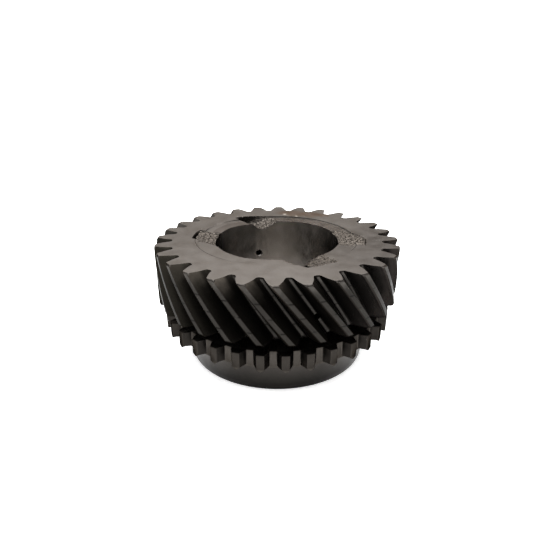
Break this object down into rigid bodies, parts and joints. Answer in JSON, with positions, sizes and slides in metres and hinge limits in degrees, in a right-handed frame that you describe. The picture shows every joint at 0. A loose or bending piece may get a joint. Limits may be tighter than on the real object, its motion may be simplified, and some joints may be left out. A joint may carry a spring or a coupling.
{
  "type": "helical gear",
  "caption": "Helical speed gear with a plain through bore, a toothed clutch ring and a tapered synchro cone on its hub.",
  "frame": {"origin": "on the bore's axis, at the lowest plane, the hub's and the synchro cone's end face", "axes": "+Z along the bore's axis, from the synchro cone towards the gear's thrust face"},
  "size_m": [0.092, 0.092, 0.0453],
  "materials": {
    "gear_steel": "case-hardened and ground, satin, warm grey",
    "ring_steel": "hardened, dull dark grey",
    "cone_steel": "fine ground taper, satin grey"
  },
  "bodies": {
    "root": {"gear_wheel": "gear_steel", "dog_ring": "ring_steel", "synchro_cone": "cone_steel"}
  },
  "joints": []
}
